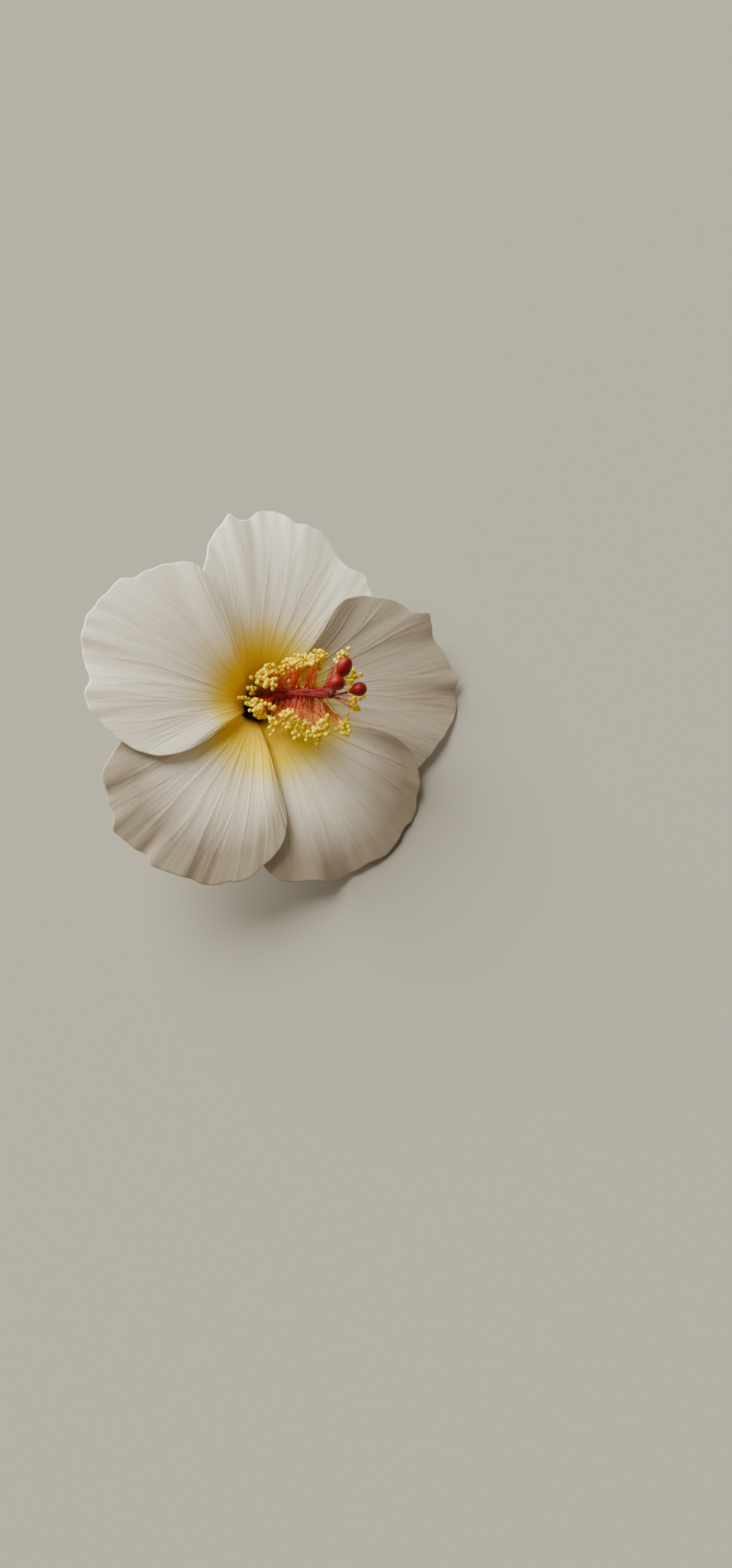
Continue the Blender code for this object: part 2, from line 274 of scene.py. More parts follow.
def settle(piece: Thing, node: str, finish: Finish | None = None) -> None:
    """Shades a finished piece smooth and ties it to the frame.

    Args:
        piece: the finished mesh.
        node: the frame's node that it stands for.
        finish: its material, unless it already has what it needs.
    """
    if finish:
        piece.data.materials.append(finish)
    activate(piece)
    bpy.ops.object.shade_smooth()
    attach(piece, "root")
    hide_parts(node)
    log.info("%s: %d faces", piece.name, len(piece.data.polygons))


# ---- Finishes -----------------------------------------------------------------------------------------


def new_material(name: str) -> tuple[Finish, bpy.types.Node]:
    """A new node material.

    Args:
        name: what the real material is.

    Returns:
        The material and its Principled node.
    """
    material = bpy.data.materials.new(name)
    material.use_nodes = True
    return material, material.node_tree.nodes["Principled BSDF"]


def add_node(material: Finish, kind: str, settings: dict, links: dict) -> bpy.types.Node:
    """Adds one node with its settings and incoming links.

    Args:
        material: the material to add to.
        kind: the node's type name, after ShaderNode.
        settings: property names, or input names, with their values.
        links: input names with the output socket that feeds each.

    Returns:
        The new node.
    """
    node = material.node_tree.nodes.new(f"ShaderNode{kind}")
    for key, value in settings.items():
        if isinstance(key, str) and hasattr(node, key):
            setattr(node, key, value)
        else:
            node.inputs[key].default_value = value
    for key, socket in links.items():
        material.node_tree.links.new(socket, node.inputs[key])
    return node


def attribute(material: Finish, name: str) -> Socket:
    """Reads a number that mark() stored on the mesh.

    Args:
        material: the material to add to.
        name: the attribute's name.

    Returns:
        The socket with its value.
    """
    return add_node(material, "Attribute", {"attribute_name": name}, {}).outputs["Fac"]


def noise(material: Finish, size: float, detail: float) -> Socket:
    """Noise that runs through the object.

    Args:
        material: the material to add to.
        size: mm that one step of the pattern takes.
        detail: how many finer layers it has.

    Returns:
        The socket with its value.
    """
    place = add_node(material, "TexCoord", {}, {}).outputs["Object"]
    settings = {"Scale": 1 / (size * MM), "Detail": detail}
    return add_node(material, "TexNoise", settings, {"Vector": place}).outputs["Fac"]


def scaled(material: Finish, value: Socket, factor: float, extra: Socket | None = None) -> Socket:
    """Multiplies a value by a factor, and may add another value.

    Args:
        material: the material to add to.
        value: what is multiplied.
        factor: by how much.
        extra: what is added, if anything.

    Returns:
        The socket with the result.
    """
    links = {0: value} if extra is None else {0: value, 2: extra}
    operation = "MULTIPLY" if extra is None else "MULTIPLY_ADD"
    return add_node(material, "Math", {"operation": operation, 1: factor}, links).outputs[0]


def spread(material: Finish, value: Socket, start: float, end: float, top: float = 1.0) -> Socket:
    """Stretches a range of a value to run from 0 to top, held at both ends.

    Args:
        material: the material to add to.
        value: the value.
        start: where the result is 0.
        end: where the result is top.
        top: the greatest result.

    Returns:
        The socket with the result.
    """
    settings = {"From Min": start, "From Max": end, "To Max": top}
    return add_node(material, "MapRange", settings, {"Value": value}).outputs["Result"]


def ramp(material: Finish, value: Socket, stops: tuple) -> Socket:
    """Turns a value from 0 to 1 into a colour.

    Args:
        material: the material to add to.
        value: the value.
        stops: pairs of a position from 0 to 1 and a hex colour.

    Returns:
        The socket with the colour.
    """
    node = add_node(material, "ValToRGB", {}, {"Fac": value})
    elements = node.color_ramp.elements
    while len(elements) < len(stops):
        elements.new(1.0)
    for element, (position, colour) in zip(elements, stops):
        element.position = position
        element.color = linear(colour)
    return node.outputs["Color"]


def tinted(material: Finish, base: Socket, colour: str, amount: Socket, method: str = "MULTIPLY") -> Socket:
    """Lays a colour over another.

    Args:
        material: the material to add to.
        base: the colour underneath.
        colour: the hex colour to lay over it.
        amount: how much of it, from 0 to 1.
        method: the way that they mix.

    Returns:
        The socket with the colour.
    """
    settings = {"data_type": "RGBA", "blend_type": method, "B": linear(colour)}
    return add_node(material, "Mix", settings, {"Factor": amount, "A": base}).outputs["Result"]


def raised(
    material: Finish, height: Socket, strength: float, depth: float, under: Socket | None = None
) -> Socket:
    """Bumps the surface.

    Args:
        material: the material to add to.
        height: the bump's height, from 0 to 1.
        strength: how much of it is used.
        depth: mm from its lowest to its highest.
        under: a bump that this one lies on, if any.

    Returns:
        The socket with the normal.
    """
    links = {"Height": height} if under is None else {"Height": height, "Normal": under}
    return add_node(material, "Bump", {"Strength": strength, "Distance": depth * MM}, links).outputs["Normal"]


def dress(material: Finish, shader: bpy.types.Node, links: dict, settings: dict) -> Finish:
    """Gives the Principled node its inputs.

    Args:
        material: the material.
        shader: its Principled node.
        links: input names with the socket that feeds each.
        settings: input names with their values.

    Returns:
        The material.
    """
    for key, socket in links.items():
        material.node_tree.links.new(socket, shader.inputs[key])
    for key, value in settings.items():
        shader.inputs[key].default_value = value
    return material


@dataclass(frozen=True)
class PetalTissue:
    """Living petal tissue: soft, satiny and a little translucent, with pigment rising out of the throat."""

    name: str = "petal_tissue"
    vein_tint: str = "#D6C9AE"
    painted_shade_colour: str = "#ADA49B"  # painted shade: a faint mauve brown laid over the petals where they turn away from the key light
    throat_stops: tuple = (
        (0.0, "#7E5200"), (0.1, "#CC9A00"), (0.22, "#F4C800"), (0.42, "#F6D000"), (0.56, "#F6DA10"),
        (0.7, "#F5E478"), (0.84, "#F7EEC6"), (1.0, "#FAF4E0"),
    )
    throat_reach: float = 38.0  # mm over which the pigment fades
    vein_climb: float = 2.0  # mm further that it runs along a vein
    blotch: float = 7.0  # mm by which it wavers
    dust: str = "#6B5642"
    dust_spacing: float = 9.0  # mm between specks
    roughness: float = 0.5

    def build(self) -> Finish:
        """Makes the material from the piece's reach, across, vein and painted_shade attributes.

        Returns:
            The material.
        """
        material, shader = new_material(self.name)
        reach, vein = attribute(material, "reach"), attribute(material, "vein")
        # Pigment runs a little further up along the veins and is blotchy at a scale of about 8 mm.
        climb = scaled(material, vein, -self.vein_climb, reach)
        sway = scaled(material, noise(material, 8, 2.0), self.blotch, climb)
        start = self.blotch / 2
        along = spread(material, sway, start, self.throat_reach + start)
        pigment = ramp(material, along, self.throat_stops)
        # Veins are a shade darker than the blade between them.
        colour = tinted(material, pigment, self.vein_tint, scaled(material, vein, 0.35))
        # Fine streaks run up the petal, about 0.8 mm apart and some 12 mm long: faint, and grooved.
        lay = add_node(material, "CombineXYZ", {},
                       {"X": attribute(material, "across"), "Y": scaled(material, reach, 0.07)})
        grooves = add_node(material, "TexNoise", {"Scale": 1.3, "Detail": 3.0},
                           {"Vector": lay.outputs["Vector"]}).outputs["Fac"]
        colour = tinted(material, colour, self.vein_tint, spread(material, grooves, 0.56, 0.3, 0.28))
        # Painted shade: darkens the petals towards a mauve brown where they turn away from the key light.
        colour = tinted(material, colour, self.painted_shade_colour, attribute(material, "painted_shade"))
        # A few tiny dark specks of dust.
        place = add_node(material, "TexCoord", {}, {})
        dust = add_node(material, "TexVoronoi", {"Scale": 1 / (self.dust_spacing * MM)},
                        {"Vector": place.outputs["Object"]}).outputs["Distance"]
        colour = tinted(material, colour, self.dust, spread(material, dust, 0.028, 0.018, 0.75), "MIX")
        # The cells of the surface, a fraction of a mm across, break up the sheen.
        cells = raised(material, noise(material, 0.7, 3.0), 0.25, 0.08)
        return dress(
            material, shader, {"Base Color": colour, "Normal": raised(material, grooves, 0.6, 0.16, cells)},
            {"Roughness": self.roughness, "Subsurface Weight": 0.25, "Subsurface Radius": (1.0, 0.8, 0.6),
             "Subsurface Scale": 1.2 * MM, "Sheen Weight": 0.1, "Specular IOR Level": 0.38},
        )


@dataclass(frozen=True)
class ThreadFinish:
    """Fine red thread that fades to orange away from the column."""

    name: str = "red_thread"
    stops: tuple = (
        (0.0, "#5A0303"), (0.15, "#8C0608"), (0.35, "#A6140A"), (0.7, "#BE4A1C"), (1.0, "#C8782E"),
    )
    fade: float = 11.0  # mm from the column's middle at which a thread is palest
    fleck: float = 2.4  # mm by which that wavers
    roughness: float = 0.5

    def build(self) -> Finish:
        """Makes the material from the piece's away attribute.

        Returns:
            The material.
        """
        material, shader = new_material(self.name)
        shift = scaled(material, noise(material, 1.5, 2.0), self.fleck, attribute(material, "away"))
        start = self.fleck / 2
        colour = ramp(material, spread(material, shift, start, self.fade + start), self.stops)
        return dress(material, shader, {"Base Color": colour}, {"Roughness": self.roughness})


@dataclass(frozen=True)
class MottledSkin:
    """A skin mottled between two colours, which may have a fine grain and paler ribs."""

    name: str
    dark: str
    pale: str
    span: tuple  # where on the mottle the two colours lie, from 0 to 1
    mottle: tuple  # mm that its pattern takes, and its finer layers
    grain: tuple  # mm that the grain takes, how much of it is used and its depth in mm, if any
    roughness: float
    specular: float = 0.5
    ribs: float = 0.0  # how far the piece's vein attribute pales it
    translucence: float = 0.0

    def build(self) -> Finish:
        """Makes the material.

        Returns:
            The material.
        """
        material, shader = new_material(self.name)
        mottle = noise(material, *self.mottle)
        if self.ribs:
            mottle = scaled(material, attribute(material, "vein"), self.ribs, mottle)
        links = {"Base Color": ramp(material, mottle, tuple(zip(self.span, (self.dark, self.pale))))}
        if self.grain:
            size, strength, depth = self.grain
            links["Normal"] = raised(material, noise(material, size, 2.0), strength, depth)
        return dress(
            material, shader, links,
            {"Roughness": self.roughness, "Specular IOR Level": self.specular,
             "Subsurface Weight": self.translucence, "Subsurface Scale": 0.6 * MM},
        )


CALYX_SKIN = MottledSkin(
    "green_calyx_tissue", "#4F6B2A", "#8FA35A", (0.3, 0.95), (2.5, 3.0), (0.5, 0.35, 0.1), 0.6,
    ribs=0.55, translucence=0.1,
)
STALK_SKIN = replace(CALYX_SKIN, name="green_stalk_tissue", dark="#5A7030", pale="#93A660")
# Its shades change over about 2 mm, so neighbouring grains differ.
ANTHER_SKIN = MottledSkin(
    "waxy_yellow_anther", "#BC9400", "#F4DA00", (0.25, 0.6), (2, 1.0), (), 0.55, specular=0.04,
)
# Its hairs are finer than 0.1 mm, drawn here as a 0.3 mm grain so that they show.
STIGMA_SKIN = MottledSkin(
    "velvety_red_stigma", "#6A0106", "#8A0209", (0.3, 0.7), (2, 2.0), (0.3, 0.4, 0.05), 0.5, specular=0.3,
)


# ---- The flower's own axes ----------------------------------------------------------------------------


@dataclass
class Stance:
    """How the flower lies: its axis leans until the stalk's end and two petals touch the surface."""

    lean: float = 28.78  # degrees between the flower's axis and the vertical
    upward: float = 147.48  # azimuth, in the flower's axes, of the side that is turned up
    spin: float = 2.0  # degrees about the vertical
    seat: tuple = (-12.0, 5.53, 8.97)  # mm, where the middle of the claws' ring lies

    def matrix(self) -> Matrix:
        """Finds how to go from the flower's own axes, with its axis along +Z, to where it lies.

        Returns:
            The turn and shift.
        """
        side = math.radians(self.upward)
        tilt = math.radians(self.lean)
        up = Vector((math.sin(tilt) * math.cos(side), math.sin(tilt) * math.sin(side), math.cos(tilt)))
        upright = up.rotation_difference(Vector((0, 0, 1))).to_matrix()
        turn = Matrix.Rotation(math.radians(self.spin), 3, "Z") @ upright
        return Matrix.Translation(Vector(self.seat) * MM) @ turn.to_4x4()

    def lay(self, points: np.ndarray) -> np.ndarray:
        """Takes points to where they lie.

        Args:
            points: positions in the flower's own axes, in metres.

        Returns:
            The positions, laid.
        """
        matrix = np.array(self.matrix())
        return points @ matrix[:3, :3].T + matrix[:3, 3]


@dataclass
class Funnel:
    """The surface that the petals share: it rises steeply out of the throat and flares nearly flat."""

    claw_radius: float = 4.0  # mm
    flare: tuple = ((0, 14), (10, 28), (20, 56), (32, 74), (50, 88), (75, 106))  # (mm along, degrees of lean)
    end: float = 90.0  # mm that the profile is worked out over
    # The folds of the rim: azimuth, half width in degrees, height in mm, and how steeply it fades inwards.
    frills: tuple = (
        (30, 5, 2.6, 5), (22, 6, -1.8, 4), (9, 4, 1.4, 6), (3, 5, -1.0, 5), (-12, 7, 2.0, 4),
        (45, 10, 2.0, 2), (58, 5, 1.8, 5), (66, 5, -1.4, 5), (78, 7, 1.2, 4), (92, 9, -1.6, 3),
        (104, 4, 3.0, 4), (112, 7, -1.6, 3), (124, 8, 1.8, 2), (144, 5, -1.4, 5), (152, 7, 1.2, 4),
        (163, 5, 1.2, 5), (172, 5, -1.8, 4), (181, 5, 1.9, 4), (206, 5, 1.6, 4), (211, 3, -1.4, 6),
        (217, 4, 1.2, 5), (229, 4, -1.0, 6), (238, 6, 1.2, 5), (249, 5, -1.2, 5), (262, 7, 1.4, 4),
        (276, 5, -1.6, 5), (284, 5, 1.4, 5), (293, 7, -2.6, 4), (312, 7, 1.2, 4), (325, 4, -0.7, 5),
        (333, 5, 1.2, 5),
    )
    resting: tuple = (-12, 293)  # the folds that the flower rests on keep their full height
    softening: float = 0.58  # the others are this much of the frame's

    def __post_init__(self) -> None:
        """Works out the profile's radius and height from its lean."""
        self.length = np.linspace(0, self.end, 900)
        knots = np.array(self.flare, float)
        self.lean = np.radians(np.interp(self.length, knots[:, 0], knots[:, 1]))
        step = self.length[1]
        sideways, upwards = (
            np.concatenate([[0], np.cumsum((part[1:] + part[:-1]) / 2 * step)])
            for part in (np.sin(self.lean), np.cos(self.lean))
        )
        self.radius = self.claw_radius + sideways
        self.height = upwards

    def frill(self, azimuth: np.ndarray, along: np.ndarray) -> np.ndarray:
        """Sums the folds that run in from the rim.

        Args:
            azimuth: degrees round the flower's axis.
            along: 0 at the claw and 1 at the rim.

        Returns:
            Their height in mm.
        """
        total = np.zeros(np.broadcast(azimuth, along).shape)
        for centre, width, height, fade in self.frills:
            off = (azimuth - centre + 180) % 360 - 180
            share = 1.0 if centre in self.resting else self.softening
            total += share * height * np.exp(-((off / width) ** 2)) * along**fade
        return total

    def point(self, azimuth: np.ndarray, length: np.ndarray, lift: np.ndarray) -> np.ndarray:
        """Points above the funnel, in metres in the flower's axes.

        Args:
            azimuth: degrees round the flower's axis.
            length: mm along the petal from the claw.
            lift: mm above the funnel.

        Returns:
            An array with x, y and z last.
        """
        lean = np.interp(length, self.length, self.lean)
        radius = np.interp(length, self.length, self.radius) - lift * np.cos(lean)
        height = np.interp(length, self.length, self.height) + lift * np.sin(lean)
        return around(radius, np.radians(azimuth), height) * MM


STANCE = Stance()
FUNNEL = Funnel()


# ---- Petals -------------------------------------------------------------------------------------------


class Edge(Enum):
    """Whether a petal's edge lies over or under its neighbour."""

    OVER = 1
    UNDER = -1


@dataclass
class Petal:
    """One petal: a sheet on the funnel with a fan of raised veins and a rolled, frilled rim."""

    name: str
    rim: tuple  # (azimuth in degrees, length in mm), right-hand edge to left-hand edge
    claw: tuple  # azimuths of the two edges at the claw
    edges: tuple  # the right-hand and left-hand Edge
    seed: int
    veins: int = 11
    thickness: float = 0.8
    edge_lift: float = 0.7  # mm by which an edge lies over or under its neighbour's, at the claw
    edge_lift_growth: float = 0.9  # and the share by which that grows towards the rim
    claw_reach: float = 55.0  # mm over which the petal widens
    curls: tuple = (0.0, 1.0)  # mm by which the right-hand and left-hand edges turn up
    curl_width: float = 3.8  # mm
    blush: float = 0.0  # mm by which the pigment reaches further up this petal
    shade: float = 0.0  # how much painted shade it takes all over, from 0 to 1
    rim_shade: float = 0.15  # and more painted shade at its rim, which turns away from the light
    ridge: float = 0.15  # mm, height of a vein
    ridge_width: float = 0.21
    swell: float = 0.03  # mm, of the broad cushion under a vein
    swell_width: float = 1.3
    ruffle: float = 0.18  # mm, of the fine waves of the rim
    jag: float = 0.1  # mm by which they shift its outline
    crumple: float = 0.012  # mm, of each of the low ridges that leave the sheet uneven
    crumple_fan: float = 60.0  # mm, the width over which their spacing is measured
    crumples: int = 7
    columns: int = 300  # faces across
    rows: int = 144  # and along
    rounding: float = 0.5  # mm, over which the rim thins to its edge
    thinnest: float = 0.12  # share of the thickness that is left there
    rim_rows: tuple = (0.011, 0.0075, 0.0045, 0.002, 0.0007, 0)  # the last rows' distances from the rim
    row_ease: float = 0.9  # under 1, rows lie closer together towards the rim
    streaks: float = 62.0  # steps of the fine streaks' pattern across a petal
    shade_reach: float = 30.0  # mm over which the painted shade at the rim fades
    flat_to: float = 14.0  # mm from the claw, where the low ridges start
    rise: float = 22.0  # mm over which they reach their height

    def vein_paths(self) -> list:
        """The fan of veins.

        Returns:
            For each vein, (where it starts from 0 at the claw to 1 at the rim, an array of across places
            for along places from its start to the rim, and its strength).
        """
        draw = np.random.default_rng(self.seed)
        steps = np.linspace(0, 1, 60)
        paths = []
        for number in range(self.veins):
            across = (number + 0.5 + draw.uniform(-0.16, 0.16)) / self.veins
            outward = (across - 0.5) * 2
            bow = draw.uniform(-0.012, 0.012)
            main = across + outward * 0.05 * (steps - 0.4) + bow * np.sin(steps * math.pi * 1.5)
            main = main + 0.005 * np.sin(steps * draw.uniform(9, 16) + draw.uniform(0, 6))
            paths.append((0.0, main, draw.uniform(0.4, 1.0)))
            for _ in range(draw.integers(0, 3)):
                start = draw.uniform(0.35, 0.7)
                part = np.linspace(start, 1, 60)
                side = draw.choice((-1, 1))
                aside = side * (draw.uniform(0.34, 0.6) / self.veins)
                fork = np.interp(part, steps, main) + aside * ((part - start) / (1 - start)) ** 0.8
                paths.append((start, fork, draw.uniform(0.35, 0.65)))
        return paths

    def relief(
        self, across: np.ndarray, along: np.ndarray, span: np.ndarray
    ) -> tuple[np.ndarray, np.ndarray]:
        """Height of the veins.

        Args:
            across: across place of each column, from 0 to 1.
            along: along place of each row, from 0 to 1.
            span: the petal's width in mm for a whole step of across, at each row and column.

        Returns:
            The height in mm and the vein mark from 0 to 1, both by row and column.
        """
        sharp = np.zeros((len(along), len(across)))
        broad = np.zeros_like(sharp)
        for start, path, strength in self.vein_paths():
            there = along >= start
            centre = np.interp(along, np.linspace(start, 1, len(path)), path)
            away = (across[None, :] - centre[:, None]) * span
            ends = ease((along - start) / 0.06 + 0.2), 1 - 0.75 * ease((along - 0.78) / 0.22)
            fade = strength * there * ends[0] * ends[1]
            sharp = np.maximum(sharp, np.exp(-((away / self.ridge_width) ** 2)) * fade[:, None])
            broad = np.maximum(broad, np.exp(-((away / self.swell_width) ** 2)) * fade[:, None])
        rising = ease((along - 0.12) / 0.33)[:, None]
        return (self.ridge * sharp + self.swell * broad) * rising, sharp * rising

    def unevenness(self, share: np.ndarray, length: np.ndarray) -> np.ndarray:
        """Low uneven ridges that fan out up the sheet, none quite along the veins.

        Args:
            share: across place of each column, from 0 to 1.
            length: mm from the claw, by row and column.

        Returns:
            Their height in mm.
        """
        draw = np.random.default_rng(self.seed + 90)
        total = np.zeros_like(length)
        for _ in range(self.crumples):
            slant, size = draw.uniform(-0.1, 0.1), draw.uniform(2.6, 7.0)
            run = share[None, :] * self.crumple_fan + length * slant
            bend = 1.1 * np.sin(length / draw.uniform(6, 12) + draw.uniform(0, 6))
            total += self.crumple * np.sin(run * 2 * math.pi / size + bend + draw.uniform(0, 6))
        return total

    def build(self, finish: Finish) -> None:
        """Makes the petal.

        Args:
            finish: its tissue.
        """
        petal, flat = sheet(f"{self.name}_blade", self.columns, self.rows)
        # The last rows lie close together, so that the rim can be rounded.
        column = np.rint((flat[:, 0] + 0.5) * self.columns).astype(int)
        row = np.rint((flat[:, 1] + 0.5) * self.rows).astype(int)
        across = np.linspace(0, 1, self.columns + 1)
        plain = np.linspace(0, 0.985, self.rows + 1 - len(self.rim_rows))
        along = np.concatenate([plain, 1 - np.array(self.rim_rows)])

        outline = smooth_through(self.rim, 12 * len(self.rim))
        # Columns lie closer together towards the two edges.
        swing = 0.5 - 0.5 * np.cos(math.pi * across)
        share = 0.4 * across + 0.6 * swing
        rim_azimuth = self.rim[0][0] + (self.rim[-1][0] - self.rim[0][0]) * share
        rim_length = np.interp(rim_azimuth, outline[:, 0], outline[:, 1])
        draw = np.random.default_rng(self.seed + 50)
        waves = sum(
            draw.uniform(0.4, 1.0)
            * np.sin(np.radians(rim_azimuth) * draw.uniform(30, 75) + draw.uniform(0, 6))
            for _ in range(4)
        )
        rim_length = rim_length + self.jag * waves
        length = rim_length[None, :] * along[:, None] ** self.row_ease
        climb = ease(length / self.claw_reach)
        start = self.claw[0] + (self.claw[1] - self.claw[0]) * share
        azimuth = start[None, :] + (rim_azimuth - start)[None, :] * climb
        reach = length / max(size for _, size in self.rim)

        radius = np.interp(length, FUNNEL.length, FUNNEL.radius)
        width = np.radians(azimuth[:, -1:] - azimuth[:, :1]) * radius
        right, left = (edge.value for edge in self.edges)
        lift = (right * (1 - swing) + left * swing)[None, :] * self.edge_lift
        lift = lift * (1 + self.edge_lift_growth * reach)
        lift = lift + FUNNEL.frill(azimuth, reach)
        to_right = np.abs(np.radians(azimuth - azimuth[:, :1])) * radius
        to_left = np.abs(np.radians(azimuth[:, -1:] - azimuth)) * radius
        # The edges turn up only past the claw, and less again towards the rim.
        fade = ease((reach - 0.12) / 0.28) * (1 - 0.6 * ease((reach - 0.6) / 0.4))
        for curl, away in zip(self.curls, (to_right, to_left)):
            lift = lift + curl * np.exp(-((away / self.curl_width) ** 2)) * fade
        lift = lift + self.ruffle * waves[None, :] * reach**9
        height, vein = self.relief(share, along, np.broadcast_to(width, length.shape))
        lift = lift + height + self.unevenness(share, length) * ease((length - self.flat_to) / self.rise)

        points = STANCE.lay(FUNNEL.point(azimuth, length, lift))
        write_points(petal, points[row, column])
        to_rim = rim_length[None, :] * (1 - along[:, None] ** self.row_ease)
        edge = np.minimum(to_rim, np.minimum(to_right, to_left))
        full = np.sqrt(1 - (1 - np.clip(edge / self.rounding, 0, 1)) ** 2)
        mark(petal, "reach", length[row, column] - self.blush)
        mark(petal, "vein", vein[row, column])
        mark(petal, "across", (share * self.streaks + self.seed * 10)[column])
        # Painted shade, strongest at the rim, where the petal turns away from the light.
        rim_painted_shade = self.rim_shade * ease(1 - to_rim / self.shade_reach)
        mark(petal, "painted_shade", np.clip(self.shade + rim_painted_shade, 0, 1)[row, column])
        group = petal.vertex_groups.new(name="thickness")
        steps = 20
        levels = np.rint(full[row, column] * steps).astype(int)
        for level in range(steps + 1):
            chosen = np.nonzero(levels == level)[0].tolist()
            if chosen:
                group.add(chosen, level / steps, "REPLACE")
        thicken(petal, self.thickness, 0, group.name, self.thinnest)
        settle(petal, self.name, finish)


# shade and rim_shade give each petal its painted shade: most on the right petal and the lower petals' rims,
# which face away from the key light.
PETALS = (
    Petal(
        "petal_right",
        ((-34, 44), (-28, 57), (-22, 62.5), (-16, 65), (-12, 67), (-8, 69.5), (-5, 71.5), (-1, 74),
         (3, 74.3), (7, 74), (9, 75.3), (13, 73), (17, 71.8), (20, 70.7), (23, 69.8), (27, 70.4),
         (29.5, 71), (31, 68), (33, 65), (36, 63.4), (40, 61), (43, 58.5), (46, 56), (50, 53), (53, 50.5),
         (56, 47), (58, 41), (59, 34)),
        (-24, 53), (Edge.UNDER, Edge.OVER), 3, curls=(0.0, 1.6), shade=0.9, rim_shade=0.0,
    ),
    Petal(
        "petal_top",
        ((34, 42), (40, 53), (45, 56), (48, 58), (53, 60.5), (56, 59.8), (59, 59.2), (62, 59.6), (67, 62),
         (69, 64), (73, 66), (78, 66.5), (81, 66.4), (84, 67.6), (88, 69.4), (92, 69.4), (96, 67.6),
         (99, 65.6), (101.5, 65.8), (104, 68), (106, 66.5), (109, 64.2), (113, 61.5), (116, 58),
         (119, 55), (123, 51.5), (128, 46), (133, 40)),
        (42, 145), (Edge.UNDER, Edge.UNDER), 5, curls=(-0.4, -0.8), rim_shade=0.0, ridge=0.11,
    ),
    Petal(
        "petal_left",
        ((121, 39), (122, 49), (124, 55), (127, 58), (132, 61), (138, 63.5), (143, 65.5), (145.5, 68),
         (150, 69), (154, 70), (160, 71.5), (164, 71.5), (170, 70), (174, 68.3), (177, 67), (180, 68),
         (183, 68.5), (188, 66), (193, 62.5), (197, 60), (203, 55.5), (209, 48), (212.5, 40), (214, 34)),
        (138, 206), (Edge.OVER, Edge.OVER), 8, curls=(2.2, 1.2), rim_shade=0.22,
    ),
    Petal(
        "petal_lower_left",
        ((189, 42), (193, 54), (199, 62), (202, 66), (205, 69), (208, 69.6), (212, 71), (216, 72),
         (219, 74.6), (222, 74.2), (226, 73.6), (230, 73), (233, 73.9), (237, 73), (241, 71.6),
         (245, 71.2), (249, 70.8), (254, 68), (257, 67), (261, 64), (265, 60), (268, 57), (271, 53.5),
         (273.5, 48), (275, 41), (275, 32)),
        (198, 260), (Edge.UNDER, Edge.OVER), 13, blush=5.0, shade=0.25, rim_shade=1.0,
    ),
    Petal(
        "petal_lower_right",
        ((255, 42), (262, 56), (266, 62), (271, 65.2), (275, 66.3), (280, 66.6), (284, 67.4), (287, 69),
         (290, 70), (295, 69.6), (299, 69.3), (303, 69.2), (307, 70.2), (310, 69.6), (314, 68.6),
         (318, 67.8), (321, 68.4), (324, 67.6), (328, 65.2), (332, 63.6), (336, 61), (339, 58.5),
         (342, 55), (344.5, 49), (346, 42), (346, 36)),
        (252, 344), (Edge.UNDER, Edge.OVER), 21, curls=(0.0, 1.8), blush=3.5, shade=0.25, rim_shade=0.85,
    ),
)


# ---- Green pieces -------------------------------------------------------------------------------------


@dataclass
class Calyx:
    """The green cup round the claws, parted into five pointed lobes."""

    lift: float = -2.35  # mm above the petals' surface
    thickness: float = 0.7
    notch: float = 9.0  # mm from the claws to the bottom between two lobes
    tip: float = 19.0  # and to a lobe's tip
    first_lobe: float = 50.0  # azimuth in degrees
    lobe_step: float = 72.0
    rib: float = 0.22  # mm, height of a rib
    base: float = 0.28  # share of the rows below the claws
    floor: tuple = ((2.1, -4.7), (3.7, -3.8), (5.5, -2.5))
    columns: int = 240
    rows: int = 60

    def build(self, finish: Finish) -> None:
        """Makes the calyx.

        Args:
            finish: its tissue.
        """
        calyx, flat = sheet("calyx_cup", self.columns, self.rows)
        azimuth = 360 * (flat[:, 0] + 0.5)
        along = flat[:, 1] + 0.5
        half = self.lobe_step / 2
        off = np.abs((azimuth - self.first_lobe + half) % self.lobe_step - half) / half
        top = self.tip - (self.tip - self.notch) * off**1.2
        length = top * np.clip((along - self.base) / (1 - self.base), 0, 1)
        flare = 1.6 * np.clip(length / self.tip - 0.5, 0, None)
        rib = np.exp(-((off / 0.07) ** 2)) + 0.5 * np.exp(-(((off - 0.42) / 0.06) ** 2))
        rib = rib * ease(along / 0.3)
        wall = FUNNEL.point(azimuth, length, self.lift - flare - self.rib * rib)
        first = FUNNEL.point(np.zeros(1), np.zeros(1), np.full(1, self.lift))[0] / MM
        count = 40
        line = smooth_through((*self.floor, (first[0], first[2])), count)
        place = np.clip(along / self.base, 0, 1) * (count - 1)
        radius = np.interp(place, range(count), line[:, 0]) * MM
        height = np.interp(place, range(count), line[:, 1]) * MM
        cup = around(radius, np.radians(azimuth), height)
        points = np.where((along < self.base)[:, None], cup, wall)
        write_points(calyx, STANCE.lay(points))
        mark(calyx, "vein", rib)
        wrap_seam(calyx, 0.01 * MM)
        thicken(calyx, self.thickness)
        settle(calyx, "calyx", finish)


